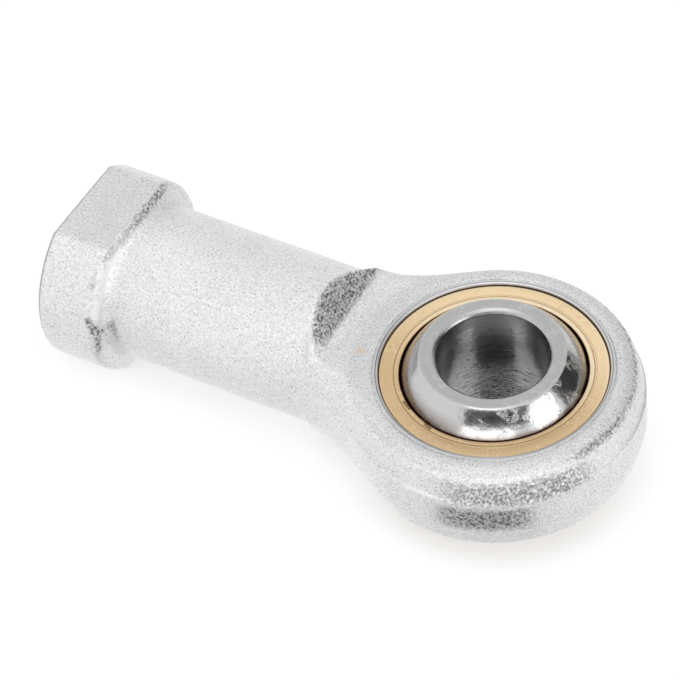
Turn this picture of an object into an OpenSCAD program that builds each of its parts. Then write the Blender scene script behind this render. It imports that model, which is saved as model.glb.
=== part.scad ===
// Female rod end bearing: a forged eye on an internally threaded shank, with a bronze race
// staked into the eye and a polished steel ball that swivels in the race.
// All sizes are in millimetres and degrees. The origin is the centre of the ball, +Z runs
// along the pin bore, and the shank points along -X.

/* [Ball] */
// Diameter of the pin bore through the ball
bore_d = 12; // [10:0.5:12.5]
// Diameter of the ball
ball_d = 22.225; // [21:0.025:24]
// Width of the ball across its two flat faces
ball_w = 16; // [14:0.5:17]
// Leg of the 45 degree chamfer at each mouth of the pin bore
bore_chamfer = 0.45; // [0.2:0.05:0.6]
// Leg of the small bevel where a flat face meets the sphere
face_bevel = 0.15; // [0.05:0.05:0.3]

/* [Race] */
// Gap all round between the ball and its seat in the race
ball_clearance = 0.03; // [0.01:0.01:0.08]
// Wall of the race at its middle, where it is thinnest
race_wall = 1.25; // [0.9:0.05:1.6]
// Depth of each race face below the face of the head
race_recess = 0.35; // [0.1:0.05:0.6]
// Leg of the chamfer on each outer edge of the race, which the staked lip closes over
race_chamfer = 0.2; // [0.1:0.05:0.4]
// Radial width of the bevel round each opening of the race
race_bevel = 0.3; // [0.1:0.05:0.5]

/* [Head] */
// Width of the head across its two faces
head_w = 11.5; // [10.5:0.5:13]
// Wall of the head from the race out to the parting band
head_wall = 3.5; // [3:0.05:4.5]
// Width of the trimmed parting band round the rim of the head
band_w = 4.4; // [2:0.2:6]
// Height of the parting band above the drafted side
band_step = 0.15; // [0.05:0.05:0.3]
// Draft of the side of the head above and below the band
side_draft = 14; // [5:1:20]
// Rounding between a face of the head and its drafted side
face_edge_r = 1.4; // [1:0.1:1.8]
// Width of the staked lip between the race and the staking groove
lip_w = 0.5; // [0.4:0.05:0.9]
// Width of the staking groove
groove_w = 0.25; // [0.2:0.05:0.5]
// Depth of the staking groove
groove_depth = 0.15; // [0.1:0.05:0.4]

/* [Neck] */
// Slope of the two straight sides that run back from the head and close in on the shank
neck_taper = 32.5; // [28:0.5:40]
// Length of flat neck between the end of those sides and the foot of the shoulder
neck_flat = 1.8; // [0.6:0.2:4]
// Slope of the shoulder that climbs from the face of the head to the shank
shoulder_angle = 55; // [40:1:70]
// Radius of the hollow at the foot of the shoulder
shoulder_foot_r = 1; // [0.5:0.1:2]

/* [Shank] */
// Distance from the centre of the ball to the end of the shank
shank_len = 51; // [45:1:60]
// Diameter of the round shank
shank_d = 17.5; // [16:0.5:18.5]

/* [Collar] */
// Diameter of the round collar at the end of the shank
collar_d = 22; // [20:0.5:25]
// Length of the collar
collar_len = 7.5; // [5:0.5:10]
// Width across the two wrench flats on the collar
flats_w = 18.8; // [18.6:0.1:19.8]
// Rounding of the collar's edges
collar_edge_r = 0.8; // [0.4:0.1:1]
// Radius of the hollow between the collar and the shank
collar_fillet_r = 1; // [0.5:0.1:1.5]

/* [Thread] */
// Outer diameter of the internal thread
thread_d = 12; // [10:1:14]
// Pitch of the thread
thread_pitch = 1.75; // [1:0.25:2]
// Length of full thread from the end of the shank
thread_depth = 22; // [18:1:26]
// Length of tapping hole past the full thread
drill_runout = 3; // [1:0.5:5]
// Point angle of the tapping drill
drill_point = 118; // [90:1:140]
// Radial width of the countersink outside the thread
mouth_lip = 0.3; // [0.1:0.1:0.6]

/* [Hidden] */
$fn = 60;
// Overshoot of every cutting solid past the surface that it cuts
over = 1;
// Distance by which each straight side of the neck lies inside the head's tangent
neck_inset = 0.02;

bore_r = bore_d / 2;
ball_r = ball_d / 2;
half_ball = ball_w / 2;
ball_face_r = sqrt(ball_r * ball_r - half_ball * half_ball);

seat_r = ball_r + ball_clearance;
race_r = seat_r + race_wall;
half_race = head_w / 2 - race_recess;
race_show_r = race_r - race_chamfer;
race_mouth_r = sqrt(seat_r * seat_r - half_race * half_race);

half_head = head_w / 2;
head_r = race_r + head_wall;
half_band = band_w / 2;
side_r = head_r - band_step;
edge_z = half_head - face_edge_r;
edge_centre_r = side_r - (face_edge_r + (edge_z - half_band) * sin(side_draft)) / cos(side_draft);
groove_r = race_show_r + lip_w + groove_w / 2;

shank_r = shank_d / 2;
neck_side_end = (head_r - shank_r * cos(neck_taper)) / sin(neck_taper);
neck_side_len = (head_r * cos(neck_taper) - shank_r / 2) / sin(neck_taper);
shoulder_foot = neck_side_end + neck_flat;
foot_tangent = shoulder_foot_r * tan(shoulder_angle / 2);

collar_r = collar_d / 2;
half_flats = flats_w / 2;
collar_start = shank_len - collar_len;

tap_r = (thread_d - thread_pitch) / 2;
mouth_r = thread_d / 2 + mouth_lip;
tap_depth = thread_depth + drill_runout;
point_len = tap_r / tan(drill_point / 2);

// Half section of the head, from a given radius out to the rim: flat faces, rounded edges,
// drafted sides and the parting band.
module head_section(inner) {
    tangent_r = edge_centre_r + face_edge_r * cos(side_draft);
    tangent_z = edge_z + face_edge_r * sin(side_draft);
    translate([inner, -half_head]) square([edge_centre_r - inner, head_w]);
    translate([inner, -half_band]) square([head_r - inner, band_w]);
    polygon([[inner, -tangent_z], [tangent_r, -tangent_z], [side_r, -half_band],
             [side_r, half_band], [tangent_r, tangent_z], [inner, tangent_z]]);
    for (side = [-1, 1])
        translate([edge_centre_r, side * edge_z]) circle(r = face_edge_r);
}

// One straight side of the neck: the head's section drawn back along its tangent, into the
// shank, and set in by a hair so that it crosses the head's surface cleanly.
module neck_side() {
    rotate([0, 0, 90 + neck_taper])
        translate([-neck_inset, neck_side_len, 0])
            rotate([90, 0, 0])
                linear_extrude(height = neck_side_len) head_section(shank_r / 2);
}

// Half section of the shank and its collar, with s measured from the ball towards the end.
module shank_section() {
    square([shank_r, shank_len - collar_edge_r]);
    translate([0, collar_start]) square([collar_r - collar_edge_r, collar_len]);
    translate([0, collar_start + collar_edge_r])
        square([collar_r, collar_len - 2 * collar_edge_r]);
    for (s = [collar_start + collar_edge_r, shank_len - collar_edge_r])
        translate([collar_r - collar_edge_r, s]) circle(r = collar_edge_r);
    difference() {
        translate([0, collar_start - collar_fillet_r])
            square([shank_r + collar_fillet_r, collar_fillet_r + collar_edge_r]);
        translate([shank_r + collar_fillet_r, collar_start - collar_fillet_r])
            circle(r = collar_fillet_r);
    }
}

// Turns a form drawn along +Z so that it runs along the shank, out of the end.
module along_shank() {
    rotate([0, -90, 0]) children();
}

// Draws a plan of (distance along the shank, height) as a bar across the whole part.
module across_shank(width) {
    translate([0, width / 2, 0])
        rotate([90, 0, 0])
            mirror([1, 0, 0])
                linear_extrude(height = width) children();
}

// What is cut away over one face of the head, up to the shoulder with its hollow foot.
module face_cut_section() {
    crest = shank_r + over;
    crest_s = shoulder_foot + (crest - half_head) / tan(shoulder_angle);
    foot_s = shoulder_foot - foot_tangent;
    slope_s = shoulder_foot + foot_tangent * cos(shoulder_angle);
    slope_z = half_head + foot_tangent * sin(shoulder_angle);
    polygon([[-head_r - over, half_head], [foot_s, half_head], [slope_s, slope_z],
             [crest_s, crest], [-head_r - over, crest]]);
    translate([foot_s, half_head + shoulder_foot_r]) circle(r = shoulder_foot_r);
}

// What is cut away over one wrench flat, with a rounded edge at the end of the shank.
module flat_cut_section() {
    round_s = shank_len - collar_edge_r;
    round_z = half_flats - collar_edge_r;
    difference() {
        translate([collar_start - collar_fillet_r, round_z])
            square([collar_len + collar_fillet_r + over, collar_r - round_z + over]);
        square([round_s, half_flats]);
        translate([round_s, round_z]) circle(r = collar_edge_r);
    }
}

// The bore that holds the race: the race's own outer form, and an opening over each race face.
module race_bore() {
    rotate_extrude() race_blank_section();
    translate([0, 0, -half_head - over])
        cylinder(r = race_show_r, h = head_w + 2 * over);
}

// V-shaped staking groove in one face of the head.
module staking_groove() {
    rotate_extrude()
        polygon([[groove_r - groove_w / 2, half_head], [groove_r, half_head - groove_depth],
                 [groove_r + groove_w / 2, half_head], [groove_r + groove_w / 2, half_head + over],
                 [groove_r - groove_w / 2, half_head + over]]);
}

// Tapping hole in the end of the shank, with its countersunk mouth and drill point.
module threaded_bore() {
    mouth_depth = mouth_r - tap_r;
    along_shank() {
        translate([0, 0, shank_len - tap_depth])
            cylinder(r = tap_r, h = tap_depth + over);
        translate([0, 0, shank_len - tap_depth - point_len])
            cylinder(r1 = 0, r2 = tap_r, h = point_len);
        translate([0, 0, shank_len - mouth_depth])
            cylinder(r1 = tap_r, r2 = mouth_r + over, h = mouth_depth + over);
    }
}

// Half section of the race before it is bored: a band with its outer edges chamfered.
module race_blank_section() {
    shoulder_z = half_race - race_chamfer;
    polygon([[0, -half_race], [race_show_r, -half_race], [race_r, -shoulder_z],
             [race_r, shoulder_z], [race_show_r, half_race], [0, half_race]]);
}

module housing() {
    color([0.80, 0.81, 0.83])
        difference() {
            union() {
                rotate_extrude() head_section(0);
                neck_side();
                mirror([0, 1, 0]) neck_side();
                along_shank() rotate_extrude() shank_section();
            }
            for (side = [0, 1])
                mirror([0, 0, side]) {
                    across_shank(collar_d) face_cut_section();
                    across_shank(collar_d + 2 * over) flat_cut_section();
                    staking_groove();
                }
            race_bore();
            threaded_bore();
        }
}

module race() {
    color([0.80, 0.64, 0.36])
        rotate_extrude()
            difference() {
                race_blank_section();
                circle(r = seat_r);
                for (side = [-1, 1])
                    polygon([[0, side * half_race], [race_mouth_r + race_bevel, side * half_race],
                             [race_mouth_r, side * (half_race - race_bevel)],
                             [0, side * (half_race - race_bevel)]]);
            }
}

module ball() {
    mouth_z = half_ball - bore_chamfer;
    color([0.66, 0.67, 0.69])
        rotate_extrude()
            difference() {
                circle(r = ball_r);
                translate([-ball_r - over, -ball_r - over])
                    square([ball_r + over + bore_r, ball_d + 2 * over]);
                for (side = [0, 1])
                    mirror([0, side]) {
                        translate([0, half_ball]) square([ball_r, ball_r]);
                        polygon([[0, mouth_z], [bore_r, mouth_z],
                                 [bore_r + bore_chamfer + over, half_ball + over],
                                 [0, half_ball + over]]);
                        polygon([[ball_face_r - face_bevel, half_ball],
                                 [ball_face_r + over, half_ball - face_bevel - over],
                                 [ball_face_r + over, half_ball + over],
                                 [ball_face_r - face_bevel, half_ball + over]]);
                    }
            }
}

housing();
race();
ball();
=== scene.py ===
"""Looks of a female rod end bearing: a blasted and zinc plated eye on a threaded shank, a turned
bronze race and a polished ball. Sizes are in millimetres; meshes are written in metres."""

import logging
import math
from dataclasses import dataclass, field
from enum import Enum
from functools import reduce
from typing import Sequence

import bmesh
import bpy
import numpy as np
from mathutils import Euler, Matrix, Vector


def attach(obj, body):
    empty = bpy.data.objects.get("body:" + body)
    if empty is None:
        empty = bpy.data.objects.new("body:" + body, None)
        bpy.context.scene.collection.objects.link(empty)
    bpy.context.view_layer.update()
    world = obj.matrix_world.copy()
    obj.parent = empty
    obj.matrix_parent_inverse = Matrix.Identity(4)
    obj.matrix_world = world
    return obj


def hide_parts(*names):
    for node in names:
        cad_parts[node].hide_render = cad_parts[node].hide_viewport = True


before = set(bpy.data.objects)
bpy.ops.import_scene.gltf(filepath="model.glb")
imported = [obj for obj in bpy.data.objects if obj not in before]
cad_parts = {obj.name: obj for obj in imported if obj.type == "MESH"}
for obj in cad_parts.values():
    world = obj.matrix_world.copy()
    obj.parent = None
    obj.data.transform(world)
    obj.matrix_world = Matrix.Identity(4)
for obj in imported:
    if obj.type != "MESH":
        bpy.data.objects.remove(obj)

MM = 0.001
SAME_POINT = 2e-7
CORNERS = ((-1, -1), (1, -1), (1, 1), (-1, 1))
LOG = logging.getLogger("rod_end")
Array = np.ndarray
Socket = bpy.types.NodeSocket
Value = Socket | float | Sequence[float]
Point = tuple[float, float, float]
Colour = tuple[float, float, float, float]


class Body(Enum):
    """The two moving bodies that a piece can ride on."""

    EYE = "eye"
    BALL = "swivel_ball"


class Slot(Enum):
    """The record's material slots."""

    HOUSING = "housing_steel"
    RACE = "race_bronze"
    BALL = "ball_steel"


# Signed distances, in millimetres: negative inside the metal, positive outside


def hollow_join(a: Array, b: Array, radius: float) -> Array:
    """Joins two solids with a hollow fillet between them.

    Where both distances are under the radius, the surface is the quarter circle that touches
    both solids; elsewhere it is the nearer of the two.

    Args:
        a: Distance to the first solid.
        b: Distance to the second solid.
        radius: Radius of the fillet.

    Returns:
        Distance to the joined solid.
    """
    corner = np.hypot(np.maximum(radius - a, 0.0), np.maximum(radius - b, 0.0))
    return np.maximum(radius, np.minimum(a, b)) - corner


def round_cut(a: Array, b: Array, radius: Array | float) -> Array:
    """Keeps what two solids share, with the edge between them rounded.

    Args:
        a: Distance to the first solid.
        b: Distance to the second solid.
        radius: Radius of the rounded edge, one value or one for each point.

    Returns:
        Distance to the shared solid.
    """
    corner = np.hypot(np.maximum(radius + a, 0.0), np.maximum(radius + b, 0.0))
    return np.minimum(-radius, np.maximum(a, b)) + corner


def ease(low: float, high: float, value: Array) -> Array:
    """Smooth step from 0 at low to 1 at high: three times the square less twice the cube."""
    t = np.clip((value - low) / (high - low), 0.0, 1.0)
    return t * t * (3.0 - 2.0 * t)


def path(*legs: tuple[float, float, int]) -> Array:
    """Joins stretches of evenly spaced values.

    Args:
        legs: For each stretch its first value, its last value and its number of steps.

    Returns:
        All values in order, each shared end once.
    """
    parts = [np.linspace(a, b, n, endpoint=False) for a, b, n in legs]
    return np.concatenate([*parts, [legs[-1][1]]])


def grid_faces(rows: int, columns: int, first: int = 0, close: bool = False) -> Array:
    """Quads of a grid of points numbered row by row.

    Args:
        rows: Number of rows.
        columns: Number of columns.
        first: Number of the grid's first point.
        close: True joins the last column back to the first one.

    Returns:
        Four point numbers for each quad.
    """
    index = np.arange(rows * columns).reshape(rows, columns) + first
    if close:
        index = np.hstack([index, index[:, :1]])
    corners = [index[:-1, :-1], index[:-1, 1:], index[1:, 1:], index[1:, :-1]]
    return np.stack(corners, axis=-1).reshape(-1, 4)


@dataclass
class Patch:
    """Points and quads of one or more grids, in millimetres."""

    points: Array = field(default_factory=lambda: np.zeros((0, 3)))
    quads: Array = field(default_factory=lambda: np.zeros((0, 4), int))

    def add(self, grid: Array, close: bool = False) -> None:
        """Adds a grid to the patch.

        Args:
            grid: Points, as rows, columns and the three coordinates.
            close: True joins the last column back to the first one.
        """
        rows, columns = grid.shape[:2]
        quads = grid_faces(rows, columns, len(self.points), close)
        self.points = np.vstack([self.points, grid.reshape(-1, 3)])
        self.quads = np.vstack([self.quads, quads])

    def piece(self, name: str, body: Body, slot: Slot, stands_for: str) -> bpy.types.Object:
        """Makes the closed mesh object, with its seams welded and its faces pointing outwards.

        Args:
            name: Name of the object.
            body: Body that it rides on.
            slot: Material slot of the record that gives its finish; not used.
            stands_for: CAD node that it is shown in place of.

        Returns:
            The finished object.
        """
        mesh = bpy.data.meshes.new(name)
        mesh.from_pydata((self.points * MM).tolist(), [], self.quads.tolist())
        weld = bmesh.new()
        weld.from_mesh(mesh)
        bmesh.ops.remove_doubles(weld, verts=weld.verts, dist=SAME_POINT)
        bmesh.ops.recalc_face_normals(weld, faces=weld.faces)
        open_edges = sum(1 for edge in weld.edges if not edge.is_manifold)
        weld.to_mesh(mesh)
        weld.free()
        mesh.validate()
        mesh.shade_smooth()
        obj = bpy.data.objects.new(name, mesh)
        bpy.context.scene.collection.objects.link(obj)
        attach(obj, body.value)
        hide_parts(stands_for)
        LOG.info("%s: %d faces, %d open edges", name, len(mesh.polygons), open_edges)
        return obj


def turned(profile: Array, steps: int) -> Array:
    """Turns a profile of (radius, height) about the Z axis.

    Args:
        profile: One row for each profile point.
        steps: Number of steps round the circle.

    Returns:
        Grid of points: profile points by steps by three coordinates.
    """
    angle = np.linspace(0.0, 2.0 * np.pi, steps, endpoint=False)
    radius, height = profile[:, :1], profile[:, 1:]
    return np.stack(
        [radius * np.cos(angle), radius * np.sin(angle), height + 0.0 * angle], axis=-1
    )


def arc(centre: Sequence[float], radius: float, start: float, end: float, steps: int) -> Array:
    """Points of an arc in a profile.

    Args:
        centre: Centre of the arc, as radius and height.
        radius: Radius of the arc.
        start: First angle in degrees.
        end: Last angle in degrees.
        steps: Number of steps between them.

    Returns:
        One row for each point, both ends included.
    """
    angle = np.radians(np.linspace(start, end, steps + 1))
    return np.stack(
        [centre[0] + radius * np.cos(angle), centre[1] + radius * np.sin(angle)], axis=-1
    )


@dataclass
class Housing:
    """The forged eye, its neck, shank and collar, with the thread inside. Places along the
    shank are given by their distance behind the bore axis."""

    head_r: float = 15.8925
    half_head: float = 5.75
    half_band: float = 2.2
    band_step: float = 0.15
    band_edge_r: float = 0.12
    band_foot_r: float = 0.05
    draft: float = math.radians(14.0)
    face_edge_r: float = 1.4
    sharpening: tuple[float, float] = (15.0, 18.0)
    taper: float = math.radians(32.5)
    neck_end: float = 17.2
    corner_r: float = 2.6
    shank_r: float = 8.75
    shank_root: float = 6.0
    overlap: float = 0.2
    shoulder_foot: float = 17.53
    shoulder_angle: float = math.radians(55.0)
    foot_r: float = 1.0
    crest_r: float = 0.35
    shank_len: float = 51.0
    collar_r: float = 11.0
    collar_len: float = 7.5
    half_flats: float = 9.4
    end_edge_r: float = 0.8
    shoulder_edge_r: float = 1.0
    collar_fillet_r: float = 1.0
    flat_edge_r: float = 0.3
    race_r: float = 12.3925
    opening_r: float = 12.1925
    half_race: float = 5.4
    lip_w: float = 0.5
    groove_w: float = 0.25
    groove_depth: float = 0.15
    ring_r: float = 13.6
    flat_r: float = 13.4
    thread_r: float = 6.0
    tap_r: float = 5.125
    pitch: float = 1.75
    thread_depth: float = 22.0
    tap_depth: float = 25.0
    mouth_r: float = 6.3
    mouth_depth: float = 1.2
    runout: float = 1.8
    point_angle: float = math.radians(59.0)
    side_steps: int = 44
    ring_steps: tuple[int, int] = (124, 46)
    shank_steps: tuple[int, ...] = (56, 44, 26, 14, 10)
    end_rings: int = 12
    hole_steps: tuple[int, int, int] = (10, 148, 6)
    point_steps: int = 7
    slope_end: float = 20.2
    hollow_start: float = 42.0
    hollow_end: float = 44.8
    end_start: float = 49.8
    section_places: tuple[float, float] = (13.6, 15.7)
    section_widths: tuple[float, float] = (9.4, 6.6)
    corner_inset: tuple[float, float] = (0.5, 0.2)
    crest_starts: tuple[float, float] = (17.2, 17.6)
    crest_ends: tuple[float, float] = (19.8, 24.0)
    flats_start: tuple[float, float] = (41.0, 44.0)
    side_knots: tuple[float, float, float, float] = (0.0, 0.41, 0.77, 1.0)
    band_share: float = 0.75
    rise_places: tuple[float, float, float] = (42.4, 43.4, 43.9)
    rise_radii: tuple[float, float] = (9.2, 10.6)
    lean_starts: tuple[float, float] = (41.2, 43.0)
    lean_turns: float = 44.2
    hollow_lean: float = 0.9
    cone_tip: float = 45.0
    last_ring_r: float = 10.6
    nearest: float = 0.02
    farthest: float = 13.0
    halvings: int = 40

    def reach(self, x: Array, y: Array) -> Array:
        """Distance from the bore axis over the eye, and over the neck the distance of the line
        that runs parallel to the neck's straight side.

        Args:
            x: Places along the shank, towards the eye.
            y: Places across it.

        Returns:
            One reach for each place.
        """
        turn = math.pi / 2 + self.taper
        along = -x * math.sin(turn) + np.abs(y) * math.cos(turn)
        side = x * math.cos(turn) + np.abs(y) * math.sin(turn)
        return np.where(along > 0.0, side, np.hypot(x, y))

    def eye_side(self, x: Array, y: Array, z: Array) -> Array:
        """Distance to the drafted side of the eye and neck with its parting band.

        Args:
            x: Places along the shank, towards the eye.
            y: Places across it.
            z: Places along the bore axis.

        Returns:
            One distance for each place.
        """
        reach, height = self.reach(x, y), np.abs(z)
        side_r = self.head_r - self.band_step
        sloped = (reach - side_r) * math.cos(self.draft) + (height - self.half_band) * math.sin(
            self.draft
        )
        drafted = np.maximum(sloped, reach - side_r)
        band = round_cut(reach - self.head_r, height - self.half_band, self.band_edge_r)
        return hollow_join(drafted, band, self.band_foot_r)

    def distance(self, p: Array) -> Array:
        """Distance to the whole outer form: the side of the eye joined to the shank, cut to the
        faces and the shoulder, and joined to the collar.

        Args:
            p: Points, with the three coordinates last.

        Returns:
            One distance for each point.
        """
        x, y, z = p[..., 0], p[..., 1], p[..., 2]
        height = np.abs(z)
        before_root = np.maximum(x + self.shank_root, 0.0)
        shank = np.hypot(np.hypot(y, z), before_root) - self.shank_r
        shank = np.maximum(shank, -x - self.shank_len + self.collar_len - self.overlap)
        neck = np.maximum(self.eye_side(x, y, z), -x - self.neck_end)
        side = hollow_join(neck, shank, self.corner_r)
        face = height - self.half_head
        slope = (x + self.shoulder_foot) * math.sin(self.shoulder_angle) + face * math.cos(
            self.shoulder_angle
        )
        top = hollow_join(face, slope, self.foot_r)
        edge = self.face_edge_r + (self.crest_r - self.face_edge_r) * ease(*self.sharpening, -x)
        eye = round_cut(side, top, edge)
        middle = self.shank_len - self.collar_len / 2
        round_part = round_cut(np.hypot(y, z) - self.collar_r, height - self.half_flats,
                               self.flat_edge_r)
        ends = np.abs(x + middle) - self.collar_len / 2
        edge = np.where(x < -middle, self.end_edge_r, self.shoulder_edge_r)
        collar = round_cut(round_part, ends, edge)
        whole = hollow_join(eye, collar, self.collar_fillet_r)
        return np.maximum(whole, height - self.half_flats)

    def cast(self, start: Array, direction: Array) -> Array:
        """Finds where rays from inside the metal leave it.

        Each ray leaves the metal once, so halving its length again and again closes in on
        the place.

        Args:
            start: Points inside the metal.
            direction: Direction of each ray.

        Returns:
            The points on the surface.
        """
        low = np.full(start.shape[:-1], self.nearest)
        high = np.full(start.shape[:-1], self.farthest)
        for _ in range(self.halvings):
            middle = (low + high) / 2
            outside = self.distance(start + direction * middle[..., None]) > 0.0
            high = np.where(outside, middle, high)
            low = np.where(outside, low, middle)
        return start + direction * ((low + high) / 2)[..., None]

    def sections(self) -> tuple[Array, Array, Array, Array]:
        """Upright sections of one half, from the tip of the eye to the end of the shank.

        Over the eye a section stands on the ring of the bore, behind it on the middle line.
        Its plane turns with the ring up to the neck, then stays square to the shank, and leans
        over the collar's shoulder and its end like the side of a cone.

        Returns:
            Start of each section, its level direction, its lean along X, and its corner angle.
        """
        turn = math.pi / 2 + self.taper
        before, after = self.ring_steps
        ring = path((0.0, turn, before), (turn, math.pi, after))
        unit = np.stack([np.cos(ring), np.sin(ring)], axis=-1)
        start = unit * self.ring_r
        past = np.maximum(ring - turn, 0.0) / (math.pi - turn)
        tangent = np.array([-math.sin(turn), math.cos(turn)])
        touch = np.array([math.cos(turn), math.sin(turn)]) * self.head_r
        side_end = (-self.ring_r - touch[0]) / tangent[0]
        far = np.where((ring <= turn)[:, None], unit * self.head_r,
                       touch + past[:, None] * side_end * tangent)
        level = far - start
        length = np.hypot(level[:, 0], level[:, 1])
        level = level / length[:, None]
        behind, origin, lean = self.shank_sections()
        count = len(origin)
        start = np.vstack([start, np.stack([origin, np.zeros(count)], axis=-1)])
        level = np.vstack([level, np.tile([0.0, 1.0], (count, 1))])
        lean = np.concatenate([np.zeros(len(ring)), lean])
        wide = np.concatenate([length, np.interp(behind, self.section_places, self.section_widths)])
        inwards, down = self.corner_inset
        corner = np.arctan2(self.half_head - down, wide - inwards)
        behind = np.concatenate([np.zeros(len(ring)), behind])
        cut = self.half_head + (behind - self.shoulder_foot) * math.tan(self.shoulder_angle)
        crest = np.arcsin(np.clip(cut / self.shank_r, 0.0, 0.9999))
        on_crest = ease(*self.crest_starts, behind) * (1.0 - ease(*self.crest_ends, behind))
        corner = corner * (1.0 - on_crest) + np.maximum(crest, corner) * on_crest
        flat = math.asin(self.half_flats / self.collar_r)
        on_flat = ease(*self.flats_start, behind)
        corner = corner * (1.0 - on_flat) + flat * on_flat
        return start, level, lean, corner

    def shank_sections(self) -> tuple[Array, Array, Array]:
        """Sections from the back of the bore's ring to the mouth of the thread.

        Each one's lean grows before the collar's shoulder, turns over the collar and ends as
        that of the cones from one tip on the axis to the rings of the end face.

        Returns:
            How far behind the bore each section meets the surface, where it meets the axis
            (as X), and its lean along X.
        """
        stops = (self.ring_r, self.slope_end, self.hollow_start, self.hollow_end, self.end_start,
                 self.shank_len)
        behind = path(*zip(stops, stops[1:], self.shank_steps))[1:]
        radius = np.interp(behind, (*self.rise_places, self.hollow_end),
                           (self.shank_r, *self.rise_radii, self.collar_r))
        end_height = self.shank_len - self.cone_tip
        over = np.clip((behind - self.lean_turns) / (self.shank_len - self.lean_turns), 0.0, 1.0)
        lean = (self.hollow_lean * ease(*self.lean_starts, behind)
                - (self.hollow_lean + end_height / self.collar_r) * over)
        rings = np.linspace(self.last_ring_r, self.mouth_r, self.end_rings)[1:]
        behind = np.concatenate([behind, np.full(len(rings), self.shank_len)])
        origin = np.concatenate([-behind[:len(lean)] - lean * radius,
                                 np.full(len(rings), -self.cone_tip)])
        return behind, origin, np.concatenate([lean, -end_height / rings])

    def outer_form(self) -> Array:
        """Grid over one half of the outer form, from the upper edge of each section round its
        side to the lower edge. The lines along the eye keep to its corners and parting band.

        Returns:
            Sections by points of a section by three coordinates.
        """
        start, level, lean, corner = self.sections()
        n = self.side_steps
        share = np.linspace(0.0, 1.0, n + 1)
        band = np.minimum(np.arctan2(self.half_band, np.maximum(
            self.head_r - self.band_step / 2 - self.reach_of(start), 1.0)), corner * self.band_share)
        quarter = np.full_like(corner, math.pi / 2)
        angles = np.stack([quarter, corner, band, np.zeros_like(corner)], axis=-1)
        upper = np.stack([np.interp(share, self.side_knots, row) for row in angles])
        angle = np.hstack([upper, -upper[:, -2::-1]])
        direction = np.stack([
            np.cos(angle) * level[:, :1] + lean[:, None],
            np.cos(angle) * level[:, 1:],
            np.sin(angle),
        ], axis=-1)
        origin = np.zeros(angle.shape + (3,))
        origin[..., :2] = start[:, None, :]
        grid = self.cast(origin, direction)
        grid[:, 0, :2] = grid[:, -1, :2] = start
        tall = grid[:, 0, 2].copy()
        leaning = lean != 0.0
        grid[leaning, 0, 0] = grid[leaning, -1, 0] = (start[:, 0] + lean * tall)[leaning]
        grid[:, -1, 2] = -tall
        return grid

    def reach_of(self, start: Array) -> Array:
        """Reach of the start of each section over the eye and neck."""
        return self.reach(start[:, 0], start[:, 1])

    def ring_profile(self) -> Array:
        """Profile from the end of the flat face over the staking groove and the lip into the
        bore, and the same mirrored on the other face.

        Returns:
            One row of radius and height for each point.
        """
        top = self.half_head
        outer = self.opening_r + self.lip_w + self.groove_w
        middle, inner = outer - self.groove_w / 2, outer - self.groove_w
        groove = np.array([
            [self.flat_r, top], [outer + 0.14, top], [outer + 0.02, top - 0.015],
            [middle + 0.06, top - self.groove_depth * 0.5], [middle, top - self.groove_depth * 0.8],
            [middle - 0.06, top - self.groove_depth * 0.5], [inner - 0.02, top - 0.02],
        ])
        lip = np.array([
            [inner - 0.10, top - 0.004], [inner - 0.22, top],
            [self.opening_r + 0.30, top - 0.004], [self.opening_r + 0.16, top - 0.03],
            [self.opening_r + 0.06, top - 0.09], [self.opening_r, top - 0.2],
        ])
        bore = np.array([[self.opening_r, self.half_race], [self.race_r, self.half_race - 0.2]])
        half = np.vstack([groove, lip, bore])
        return np.vstack([half, half[::-1] * [1.0, -1.0]])

    def ring(self, half: Array) -> Array:
        """Grid of the ring round the bore, on the same rays as the sections over the eye. Its
        first and last points are the ends of those sections, so that the seam is closed.

        Args:
            half: The outer form of one half.

        Returns:
            Profile points by rays by three coordinates.
        """
        ends = half[:sum(self.ring_steps) + 1, [0, -1]].transpose(1, 0, 2)
        unit = ends[0, :, :2] / self.ring_r
        profile = self.ring_profile()
        grid = np.stack([
            profile[:, :1] * unit[:, 0], profile[:, :1] * unit[:, 1],
            profile[:, 1:] + 0.0 * unit[:, 0],
        ], axis=-1)
        return np.concatenate([ends[:1], grid, ends[1:]])

    def threaded_hole(self, mouth: Array) -> Array:
        """Grid of the hole from its mouth to the drill's point.

        The radius of the wall is the larger of the countersink, which shrinks with depth, and
        the thread, whose height follows depth over pitch plus the share of a turn.

        Args:
            mouth: The last ring of the outer form, in order round the hole.

        Returns:
            Depths by points of the ring by three coordinates.
        """
        angle = np.arctan2(mouth[:, 2], mouth[:, 1])
        stops = (0.0, self.mouth_depth, self.thread_depth, self.tap_depth)
        depth = path(*zip(stops, stops[1:], self.hole_steps))[:, None]
        phase = np.mod(depth / self.pitch + angle / (2.0 * np.pi), 1.0)
        crest = np.clip(4.0 * np.abs(phase - 0.5) - 0.5, 0.0, 1.0)
        fade = 1.0 - ease(self.thread_depth - self.runout, self.thread_depth, depth)
        wall = self.tap_r + (self.thread_r - self.tap_r) * crest * fade
        wall = np.maximum(wall, self.mouth_r - depth)
        grid = np.stack([depth - self.shank_len + 0.0 * wall, wall * np.cos(angle),
                         wall * np.sin(angle)], axis=-1)
        grid[0] = mouth
        tip = np.linspace(self.tap_r, 0.0, self.point_steps)[1:, None]
        far = self.tap_depth - self.shank_len + (self.tap_r - tip) / math.tan(self.point_angle)
        cone = np.stack([far + 0.0 * angle, tip * np.cos(angle), tip * np.sin(angle)], axis=-1)
        return np.vstack([grid, cone])

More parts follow.
